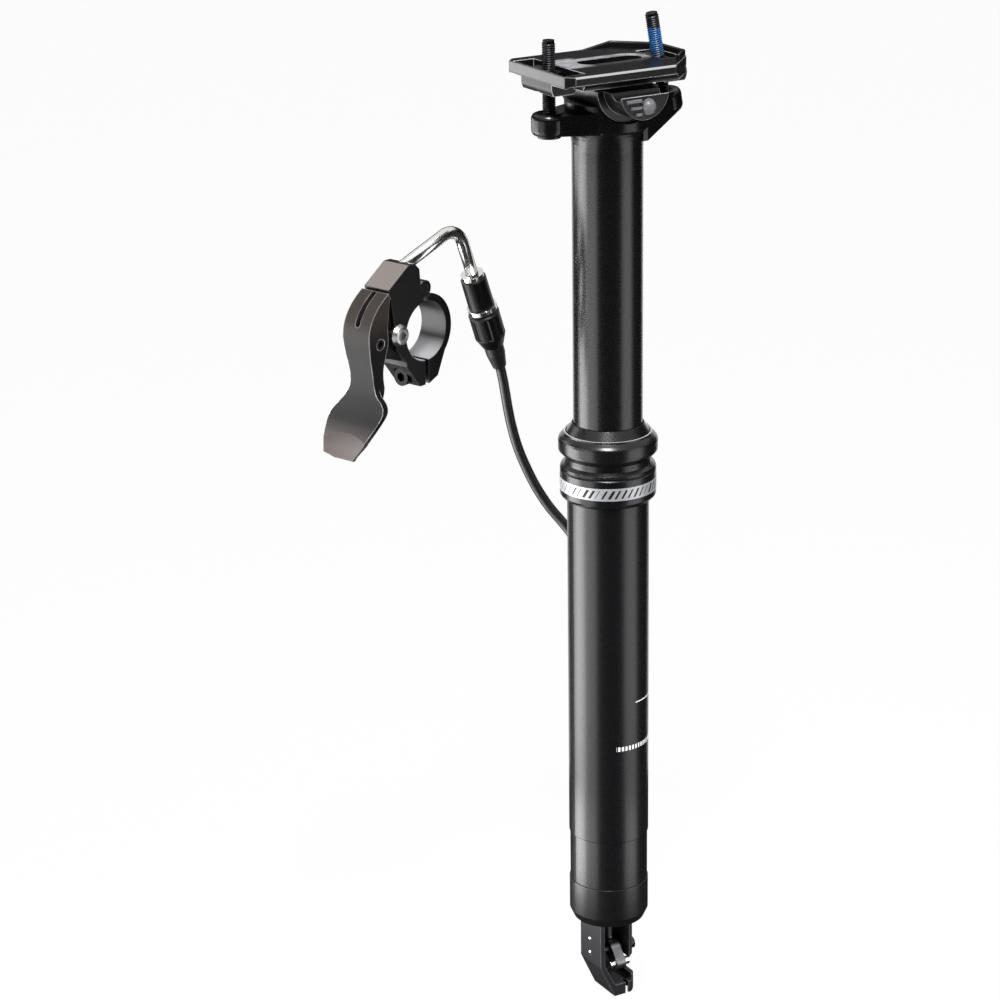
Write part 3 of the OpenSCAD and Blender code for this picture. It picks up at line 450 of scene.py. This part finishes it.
class SEATPOST_OT_cable(bpy.types.Operator):
    """Cable housing from the adjuster to the hank behind the tube"""

    bl_idname = "seatpost.cable"
    bl_label = "Cable"

    def hank_point(self, k, s):
        """Point k of the hank: across the view, behind the post and up."""
        u = k / PER_TURN
        r = s.core + s.step * abs(u - s.turns / 2)
        side = s.layer * max(-1, min(1, (u - s.turns / 2) * 4))
        i = k % PER_TURN
        middle = s.near + s.core + s.step * s.turns / 2

        def waist(z):
            return r * (1 - s.draw * (1 + math.cos(math.pi * z / s.half)) / 2)

        if i < 4:
            z = s.half * (1 - i / 2)
            flat = (-waist(z), z)
        elif i < 12:
            a = math.radians((i - 4) * BEND_STEP)
            flat = (-r * math.cos(a), -s.half - r * math.sin(a))
        elif i < 16:
            z = s.half * ((i - 12) / 2 - 1)
            flat = (waist(z), z)
        else:
            a = math.radians((i - 16) * BEND_STEP)
            flat = (r * math.cos(a), s.half + r * math.sin(a))
        return Vector((side, middle + flat[0], s.middle + flat[1]))

    def execute(self, context):
        s = context.scene.seatpost_cable
        turn = Matrix.Rotation(s.turn, 4, "Z")
        top = s.middle + s.half
        start, ahead = cable_start()
        route = [start, start + s.thick * ahead]
        route += [turn @ (Vector(p) * MM) for p in FREE_RUN]
        route += [turn @ Vector((-s.layer, s.near, top + z * MM)) for z in (12, 8, 4)]
        route += [turn @ self.hank_point(k, s) for k in range(PER_TURN * s.turns + 1)]
        route += [turn @ Vector((s.layer, s.near, top - 4 * MM))]
        line = bpy.data.curves.new("cable_jacket", "CURVE")
        line.dimensions = "3D"
        line.bevel_depth = s.thick / 2
        line.bevel_resolution = 4
        line.resolution_u = 5
        line.use_fill_caps = True
        spline = line.splines.new("BEZIER")
        spline.bezier_points.add(len(route) - 1)
        for point, spot in zip(spline.bezier_points, route):
            point.co = spot
            point.handle_left_type = point.handle_right_type = "AUTO"
        piece = bpy.data.objects.new("cable_jacket", line)
        context.scene.collection.objects.link(piece)
        context.view_layer.update()
        piece.data.materials.append(jacket().made)
        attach(piece, "frame_side")
        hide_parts("cable_housing", "housing_hank")
        return {"FINISHED"}


# Place and turn of the remote's own frame, in which Y runs along the handlebar
REMOTE_PLACE = (0.0619, -0.0358, 0.067)
REMOTE_TURN = math.radians(20)


def cable_start():
    """Where the housing leaves the adjuster's sleeve, and which way, from the remote's own sizes."""
    place = Matrix.Translation(REMOTE_PLACE) @ Matrix.Rotation(REMOTE_TURN, 4, "Z")

    def heading(a):
        return Vector((math.cos(math.radians(a)), 0, math.sin(math.radians(a))))

    # The pipe leaves the bracket, bends down over 9 mm and ends in the adjuster
    bend = 9
    down = 248.8
    first = Vector((4.5, 0, 24.8)) + 23 * heading(163)
    middle = first + bend * heading(253)
    low = middle - bend * heading(338.8) + 15 * heading(down)
    adjuster_length, sleeve_length, overlap = 31, 10, 1.5
    start = low + (adjuster_length + sleeve_length - overlap) * heading(down)
    return place @ (start * MM), place.to_3x3() @ heading(down)


def jacket():
    """Extruded polymer jacket: satin black with faint drawn lines."""
    return moulded("extruded_cable_jacket", "#0e0e0f", roughness=0.36, grit_mm=0.5, dent=0.1, IOR=1.5)


# Threadlocker on the rear bolt: its ends, and where painted shade darkens it towards the plate, in
# millimetres up
LOCK_ENDS = (163, 176.5)
LOCK_SHADE = (165, 170)


class SEATPOST_OT_bolts(bpy.types.Operator):
    """Threaded clamp bolts with hexagon sockets"""

    bl_idname = "seatpost.bolts"
    bl_label = "Clamp bolts"

    def rod(self, radius, low, high, sides=48):
        """A round bar along Z between two heights."""
        only()
        bpy.ops.mesh.primitive_cylinder_add(
            vertices=sides, radius=radius, depth=high - low, location=(0, 0, (low + high) / 2)
        )
        bpy.ops.object.transform_apply(location=True)
        return bpy.context.object

    def thread(self, s, low, high):
        """A helical ridge between two heights, closed at both ends."""
        only()
        bpy.ops.mesh.primitive_circle_add(
            vertices=4, radius=s.crest, location=(s.core, 0, low), rotation=(math.pi / 2, 0, 0)
        )
        bpy.ops.object.transform_apply(location=True, rotation=True)
        ridge = bpy.context.object
        turns = ridge.modifiers.new("turns", "SCREW")
        turns.screw_offset = s.pitch
        turns.iterations = int((high - low) / s.pitch)
        turns.steps = turns.render_steps = 32
        bpy.ops.object.modifier_apply(modifier="turns")
        bpy.ops.object.mode_set(mode="EDIT")
        bpy.ops.mesh.select_all(action="SELECT")
        bpy.ops.mesh.fill_holes(sides=0)
        bpy.ops.mesh.normals_make_consistent(inside=False)
        bpy.ops.object.mode_set(mode="OBJECT")
        return ridge

    def bolt(self, s, length):
        """Head with a hexagon socket, shank and thread, along Z from the head's underside."""
        head = self.rod(s.head, 0, s.head_height)
        socket_depth = 0.55 * s.head_height
        socket = self.rod(s.core, -s.head_height, socket_depth, 6)
        only(head)
        cut = head.modifiers.new("socket", "BOOLEAN")
        cut.object = socket
        bpy.ops.object.modifier_apply(modifier="socket")
        bpy.data.objects.remove(socket)
        soft = head.modifiers.new("soft", "BEVEL")
        soft.width = 0.0004
        soft.segments = 3
        bpy.ops.object.modifier_apply(modifier="soft")
        sunk = 0.0005
        plain = self.rod(s.core + s.crest, s.head_height - sunk, s.plain)
        shank = self.rod(s.core, s.plain - sunk, length)
        ridge = self.thread(s, s.plain, length - s.crest)
        only(head)
        for piece in (plain, shank, ridge):
            piece.select_set(True)
        bpy.ops.object.join()
        bpy.ops.object.shade_smooth_by_angle(angle=math.radians(35))
        return head

    def execute(self, context):
        s = context.scene.seatpost_bolts
        # Blackened steel with dull stains, and the same with a blue dab of threadlocker, darkened towards the
        # plate by painted shade
        dark = steel("blackened_bolt_steel", "#3c3c3f", roughness=0.34, stain=0.4)
        locked = steel("threadlocked_bolt_steel", "#3c3c3f", roughness=0.34, stain=0.4)
        height = locked.round_post()[1]
        blotch = locked.math("MULTIPLY", locked.grain(1.2), 2.4)
        dabbed = locked.within(locked.math("ADD", height, blotch), *LOCK_ENDS)
        thin = locked.spread(locked.grain(0.9), 0.35, 0.65, 0, 1)
        tint = locked.mixed(thin, linear("#0b3f70"), linear("#1878c2"))
        # Painted shade on the threadlocker: dark next to the plate, clear higher up
        lit = locked.spread(height, *LOCK_SHADE, 0, 1)
        locked.over(dabbed, locked.mixed(lit, linear("#0a2a48"), tint))
        locked.link(locked.math("SUBTRACT", 1.0, dabbed), "Metallic")
        for node, name, lean, finish in (
            ("front_clamp_bolt", "front_bolt", 0.0, dark),
            ("rear_clamp_bolt", "rear_bolt", s.lean, locked),
        ):
            low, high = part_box(node)
            foot = Vector((low.x + s.head * math.cos(lean), 0, low.z + s.head * math.sin(lean)))
            length = (high.z - (s.core + s.crest) * math.sin(lean) - foot.z) / math.cos(lean)
            piece = self.bolt(s, length)
            piece.matrix_world = Matrix.Translation(foot) @ Matrix.Rotation(lean, 4, "Y")
            settle(piece, name, "sliding_post")
            paint(finish, name)
            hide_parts(node)
        return {"FINISHED"}


class SEATPOST_OT_band(bpy.types.Operator):
    """Foil band with slanted strokes round the collar nut"""

    bl_idname = "seatpost.band"
    bl_label = "Collar band"

    def execute(self, context):
        s = context.scene.seatpost_band
        only()
        bpy.ops.mesh.primitive_cylinder_add(
            vertices=180,
            radius=s.radius,
            depth=s.high - s.low,
            end_fill_type="NOTHING",
            location=(0, 0, (s.low + s.high) / 2),
        )
        band = context.object
        skin = band.modifiers.new("skin", "SOLIDIFY")
        skin.thickness = s.thick
        skin.offset = 1
        bpy.ops.object.modifier_apply(modifier="skin")
        bpy.ops.object.shade_smooth_by_angle(angle=math.radians(30))

        # Pale foil, half metal and half print, with black strokes of uneven width
        f = steel(
            "brushed_foil", "#a4a5a8", roughness=0.36, brush=(1, 1, 8), brush_mm=0.4, dent=0.05, stain=0.1
        )
        f.shader.inputs["Metallic"].default_value = 0.35
        slant, margin = 0.6, 0.8
        angle, height = f.round_post()
        along = f.math("MULTIPLY", angle, s.radius / MM * math.pi / 180)
        slanted = f.math("DIVIDE", f.math("SUBTRACT", along, f.math("MULTIPLY", height, slant)), s.stroke)
        each = f.add("ShaderNodeTexWhiteNoise", {"W": f.math("FLOOR", slanted)}, noise_dimensions="1D")
        wide = f.spread(each.outputs["Value"], 0, 1, 0.12, 0.5)
        inked = f.math("LESS_THAN", f.math("FRACT", slanted), wide)
        inside = f.within(height, s.low / MM + margin, s.high / MM - margin)
        f.over(f.both(inked, inside), linear("#0b0b0c"))
        settle(band, "collar_band", "frame_side")
        paint(f, "collar_band")
        return {"FINISHED"}


class SEATPOST_OT_plate_rim(bpy.types.Operator):
    """Raised rim round the rear of the saddle clamp's plate"""

    bl_idname = "seatpost.plate_rim"
    bl_label = "Plate rim"

    def execute(self, context):
        s = context.scene.seatpost_rim
        half = s.width / 2 - s.inset
        back = -s.back + s.inset
        bend = s.cut - 0.4 * s.inset
        # The far end starts inside the plate, so that the rim rises out of it
        sunk = s.foot - 0.85 * s.height
        path = [
            (s.far_end, -half, sunk),
            (back + bend, -half, s.foot),
            (back, -half + bend, s.foot),
            (back, half - bend, s.foot),
            (back + 0.55 * bend, half - 0.45 * bend, s.foot),
        ]
        only()
        bpy.ops.mesh.primitive_plane_add(size=0.001, location=path[0])
        rim = context.object
        bpy.ops.object.mode_set(mode="EDIT")
        bpy.ops.mesh.select_all(action="SELECT")
        bpy.ops.mesh.merge(type="CENTER")
        for start, end in zip(path, path[1:]):
            step = Vector(end) - Vector(start)
            bpy.ops.mesh.extrude_vertices_move(TRANSFORM_OT_translate={"value": step})
        bpy.ops.mesh.select_all(action="SELECT")
        bpy.ops.mesh.extrude_edges_move(TRANSFORM_OT_translate={"value": (0, 0, s.height)})
        bpy.ops.object.mode_set(mode="OBJECT")
        wall = rim.modifiers.new("wall", "SOLIDIFY")
        wall.thickness = s.thick
        wall.offset = 0
        wall.use_even_offset = True
        eased = rim.modifiers.new("eased", "BEVEL")
        eased.width = s.thick * 0.35
        eased.segments = 3
        for name in ("wall", "eased"):
            bpy.ops.object.modifier_apply(modifier=name)
        bpy.ops.object.mode_set(mode="EDIT")
        bpy.ops.mesh.select_all(action="SELECT")
        bpy.ops.mesh.normals_make_consistent(inside=False)
        bpy.ops.object.mode_set(mode="OBJECT")
        bpy.ops.object.shade_smooth_by_angle(angle=math.radians(30))
        settle(rim, "plate_rim", s.body)
        return {"FINISHED"}


class SEATPOST_OT_noodle(bpy.types.Operator):
    """Bent cable pipe with an even skin, over the CAD's faceted one"""

    bl_idname = "seatpost.noodle"
    bl_label = "Noodle"

    def execute(self, context):
        only(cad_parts["cable_noodle"])
        bpy.ops.object.duplicate()
        pipe = context.object
        bpy.ops.object.mode_set(mode="EDIT")
        bpy.ops.mesh.select_all(action="SELECT")
        bpy.ops.mesh.remove_doubles(threshold=0.00001)
        bpy.ops.object.mode_set(mode="OBJECT")
        bpy.ops.object.shade_smooth_by_angle(angle=math.radians(40))
        # Bright drawn pipe with hardly a mark
        drawn = steel(
            "drawn_stainless", "#e2e2e0", roughness=0.2, brush_mm=2, dent=0, stain=0.06, edge_mm=0.02
        )
        settle(pipe, "noodle_pipe", "frame_side")
        paint(drawn, "noodle_pipe")
        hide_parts("cable_noodle")
        return {"FINISHED"}


def pale_bore_bottom(f):
    """Paints the low part of the remote's bore pale grey."""
    frame_of = {"Vector": f.place, "Location": REMOTE_PLACE, "Rotation": (0, 0, REMOTE_TURN)}
    local = f.add("ShaderNodeMapping", frame_of, vector_type="TEXTURE").outputs[0]
    flat = f.add("ShaderNodeVectorMath", {0: local, 1: (1, 0, 1)}, operation="MULTIPLY").outputs[0]
    away = f.add("ShaderNodeVectorMath", {0: flat}, operation="LENGTH").outputs["Value"]
    height = f.add("ShaderNodeSeparateXYZ", {0: flat}).outputs["Z"]
    low = f.spread(height, -5 * MM, -10.5 * MM, 0, 1)
    inside = f.math("LESS_THAN", away, 11.3 * MM)
    f.over(f.both(inside, low), linear("#9a9a9c"))


# Which way the bracket's slanted top faces
BRACKET_TOP = (0.507, 0.185, 0.84)


# Marks on the tube: heights in millimetres, turns in degrees
LINE_Z, LINE_TURN = (-79.5, -79.0), (100, 152)
BARS_Z, BARS_TURN = (-98.4, -96.6), (69, 152)
BAR_PITCH, BAR_SHARE = 5.5, 0.62
# Low gloss of the dyed black oxide
DYED = {"IOR": 1.45}


class SEATPOST_OT_finishes(bpy.types.Operator):
    """Procedural finish of every CAD node"""

    bl_idname = "seatpost.finishes"
    bl_label = "Finishes"

    def execute(self, context):
        self.post()
        self.cradle()
        self.plate()
        self.remote()
        self.small_parts()
        return {"FINISHED"}

    def post(self):
        """Deep black tubes with soft strip highlights, and a rubber wiper with a highlight painted on its
        bead.
        """
        # Cap a little duller than the tubes
        cap = anodised(
            "satin_black_anodised",
            "#0c0c0d",
            "#4a4a4c",
            roughness=0.32,
            grit_mm=0.35,
            wear=0.5,
            dent=0.06,
            **DYED,
        )
        paint(cap, "end_cap")
        gloss = anodised(
            "gloss_black_anodised",
            "#0a0a0b",
            "#4a4a4c",
            roughness=0.27,
            grit_mm=0.5,
            wear=0.4,
            edge_mm=0.1,
            dent=0.02,
            **DYED,
        )
        paint(gloss, "stanchion", "collar_nut")

        # Tube with a thin line and a row of short bars in white print
        tube = anodised(
            "printed_black_anodised",
            "#0b0b0d",
            "#4a4a4c",
            roughness=0.3,
            grit_mm=0.35,
            wear=0.5,
            edge_mm=0.1,
            dent=0.04,
            **DYED,
        )
        angle, height = tube.round_post()
        line = tube.both(tube.within(height, *LINE_Z), tube.within(angle, *LINE_TURN))
        row = tube.both(tube.within(height, *BARS_Z), tube.within(angle, *BARS_TURN))
        bars = tube.math("LESS_THAN", tube.math("FRACT", tube.math("DIVIDE", angle, BAR_PITCH)), BAR_SHARE)
        tube.over(tube.math("MAXIMUM", line, tube.both(row, bars)), linear("#d8d8d8"))
        paint(tube, "outer_tube")

        # Shiny rubber, with a highlight painted pale along its bead
        wiper = moulded("wiper_rubber", "#0d0d0e", roughness=0.27, grit_mm=0.4, dent=0.05, **DYED)
        x, y, z = wiper.axes()
        painted_bead_highlight = wiper.within(wiper.reach(x, y), 15.9, 16.5)
        wiper.over(wiper.both(painted_bead_highlight, wiper.math("GREATER_THAN", z, 26.2)), linear("#c0c0c2"))
        paint(wiper, "wiper_seal")

    def cradle(self):
        """Black cradle with pale worn edges, and a domed boss at each end painted paler as its highlight."""
        cradle = anodised(
            "cradle_black_anodised",
            "#0f0f10",
            "#c9c9cb",
            roughness=0.3,
            grit_mm=0.3,
            wear=1.0,
            edge_mm=0.4,
            dent=0.08,
            **DYED,
        )
        # Both ends, where the domed bosses are, painted paler as a highlight
        side = cradle.math("ABSOLUTE", cradle.axes()[1])
        cradle.over(cradle.math("GREATER_THAN", side, 25.6), linear("#6a6a6d"))
        paint(cradle, "rail_cradle")

    def plate(self):
        """Black clamp plate with bright edges, a satin land round its slot and behind the front bolt, a
        painted highlight along its near side and a front face painted paler as if lit.
        """
        plate = anodised(
            "clamp_black_anodised",
            "#0f0f10",
            "#f0f0f2",
            roughness=0.3,
            grit_mm=0.3,
            wear=1.0,
            edge_mm=0.55,
            dent=0.08,
            **DYED,
        )
        x, y, z = plate.axes()
        slot_x, slot_half = -1.0, 8.5
        off_middle = plate.math("ABSOLUTE", plate.math("SUBTRACT", x, slot_x))
        past = plate.math("MAXIMUM", plate.math("SUBTRACT", off_middle, slot_half), 0.0)
        away = plate.reach(past, y)
        ring = plate.both(plate.spread(away, 8.2, 7.2, 0, 1), plate.spread(y, 4.5, 1.0, 0.1, 1))
        pocket_x = 19.6
        side = plate.math("ABSOLUTE", plate.math("ADD", y, 1.5))
        front = plate.both(
            plate.spread(x, 8.0, 11.0, 0, 1),
            plate.spread(side, 9.5, 7.5, 0, 1),
            plate.math("LESS_THAN", x, pocket_x),
        )
        upper = plate.math("GREATER_THAN", z, 165.3)
        mottle = plate.spread(plate.grain(4), 0.35, 0.65, 0, 1)
        satin = plate.mixed(mottle, linear("#7e7e81"), linear("#a6a6a9"))
        plate.over(plate.both(plate.math("MAXIMUM", ring, front), upper), satin)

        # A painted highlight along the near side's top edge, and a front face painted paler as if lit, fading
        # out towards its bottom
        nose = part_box("clamp_plate")[1].x / MM
        painted_edge_highlight = plate.both(
            plate.math("GREATER_THAN", y, 21.3),
            plate.math("GREATER_THAN", z, 164.8),
            plate.within(x, -15.0, nose - 3.0),
        )
        plate.over(painted_edge_highlight, linear("#b4b4b6"))
        face = plate.math("GREATER_THAN", x, nose - 0.2)
        plate.over(plate.both(face, plate.spread(z, 161.4, 162.2, 0, 1)), linear("#5c5b5d"))
        paint(plate, "clamp_plate", "plate_rim")

    def remote(self):
        """Warm dark lever with bright edges on a blasted black bracket and band."""
        # Lever with painted light: paler towards the slot and towards the thumb's dish, and its pale worn
        # edges also stand in for highlights on its chamfers
        lever = anodised(
            "brushed_dark_anodised",
            "#100f0f",
            "#e4e4e6",
            roughness=0.45,
            grit_mm=0.3,
            wear=1.0,
            edge_mm=0.6,
            dent=0.1,
            IOR=1.2,
        )
        height = lever.round_post()[1]
        lever.over(lever.spread(height, 66, 78, 0, 0.6), linear("#3d3734"))
        lever.over(lever.spread(height, 39, 29, 0, 0.85), linear("#4a4341"))
        paint(lever, "remote_lever")

        # Matt black with a coarse blast
        body = anodised(
            "blasted_black_anodised",
            "#070708",
            "#6d6d70",
            roughness=0.36,
            grit_mm=0.45,
            wear=0.5,
            dent=0.25,
            IOR=1.33,
        )
        pale_bore_bottom(body)
        paint(body, "clamp_band", "barrel_adjuster")

        # Bracket with a bare blasted top
        bracket = anodised(
            "part_bare_bracket",
            "#070708",
            "#6d6d70",
            roughness=0.42,
            grit_mm=0.45,
            wear=0.5,
            dent=0.4,
            IOR=1.33,
        )
        facing = bracket.add("ShaderNodeNewGeometry").outputs["Normal"]
        slope = bracket.add("ShaderNodeVectorMath", {0: facing, 1: BRACKET_TOP}, operation="DOT_PRODUCT")
        bracket.over(bracket.math("GREATER_THAN", slope.outputs["Value"], 0.97), linear("#6c6663"))
        pale_bore_bottom(bracket)
        paint(bracket, "remote_bracket")

    def small_parts(self):
        """Actuator, pins, nuts, bushings and the inside of the post."""
        # Dark grey housing with pale worn edges
        grey = anodised("grey_anodised", "#1f1f21", "#9a9a9c", roughness=0.38, grit_mm=0.3, wear=0.8, IOR=1.5)
        paint(grey, "actuator_bracket")

        # Mirror-like pins and rings, and a screw a little duller
        bright = steel("polished_stainless", "#dcdcda", roughness=0.16, brush_mm=0.25, dent=0.01, stain=0.08)
        paint(bright, "cable_barrel", "adjuster_ring", "stop_pins")
        paint(bright, "cable_tail", "cable_anchor", "valve_pin", "piston_rod", "end_ferrule")
        paint(steel("satin_stainless", "#b9b9b7", roughness=0.3, stain=0.2), "bracket_screw")

        # Rough grey casting, and blackened steel from dull to oily
        paint(steel("cast_steel", "#77777a", roughness=0.42, dent=0.15, stain=0.4), "actuator_cam")
        dark = steel("blackened_steel", "#3a3a3c", roughness=0.38, stain=0.4)
        paint(dark, "bolt_washers", "front_barrel_nut", "rear_barrel_nut")
        paint(dark, "hinge_pin", "lever_pivot_pin", "cam_pivot_pin", "rod_nut")
        paint(steel("oiled_black_steel", "#161617", roughness=0.34, stain=0.4), "pinch_bolt")

        # Cream bushings, brown foam, brass keys, pale aluminium and black nylon
        acetal = moulded("acetal", "#b7af98", roughness=0.4, grit_mm=0.6, dent=0.05)
        paint(acetal, "upper_bushing", "lower_bushing")
        paint(moulded("oiled_foam", "#6b5f4d", roughness=0.8, grit_mm=0.8, dent=0.6), "foam_ring")
        paint(steel("turned_brass", "#b98a3c", roughness=0.28), "guide_keys")
        aluminium = steel("turned_aluminium", "#b9babd", roughness=0.3)
        paint(aluminium, "cartridge_tube", "cartridge_head", "piston")
        nylon = moulded("nylon_tie", "#0e0e0f", roughness=0.45, grit_mm=0.8, dent=0.08)
        paint(nylon, "hank_tie", "adjuster_sleeve")


class SEATPOST_PT_panel(bpy.types.Panel):
    """Lists the operators and their sizes"""

    bl_idname = "SEATPOST_PT_panel"
    bl_label = "Seatpost"
    bl_space_type = "VIEW_3D"
    bl_region_type = "UI"
    bl_category = "Seatpost"

    def draw(self, context):
        for operator in OPERATORS:
            self.layout.operator(operator.bl_idname)
        for group in GROUPS:
            sizes = getattr(context.scene, GROUPS[group])
            for key in group.__annotations__:
                self.layout.prop(sizes, key)


OPERATORS = (
    SEATPOST_OT_stage,
    SEATPOST_OT_cable,
    SEATPOST_OT_bolts,
    SEATPOST_OT_band,
    SEATPOST_OT_plate_rim,
    SEATPOST_OT_noodle,
    SEATPOST_OT_finishes,
)
GROUPS = {
    CameraSizes: "seatpost_camera",
    CableSizes: "seatpost_cable",
    BoltSizes: "seatpost_bolts",
    BandSizes: "seatpost_band",
    RimSizes: "seatpost_rim",
}


def register():
    for group, name in GROUPS.items():
        bpy.utils.register_class(group)
        setattr(bpy.types.Scene, name, bpy.props.PointerProperty(type=group))
    for made in (*OPERATORS, SEATPOST_PT_panel):
        bpy.utils.register_class(made)


def unregister():
    for made in (SEATPOST_PT_panel, *reversed(OPERATORS)):
        bpy.utils.unregister_class(made)
    for group, name in GROUPS.items():
        delattr(bpy.types.Scene, name)
        bpy.utils.unregister_class(group)


def main():
    """Makes every piece in order."""
    register()
    bpy.ops.seatpost.stage()
    bpy.ops.seatpost.cable()
    bpy.ops.seatpost.bolts()
    bpy.ops.seatpost.band()
    bpy.ops.seatpost.plate_rim()
    bpy.ops.seatpost.noodle()
    bpy.ops.seatpost.finishes()


if __name__ == "__main__":
    main()
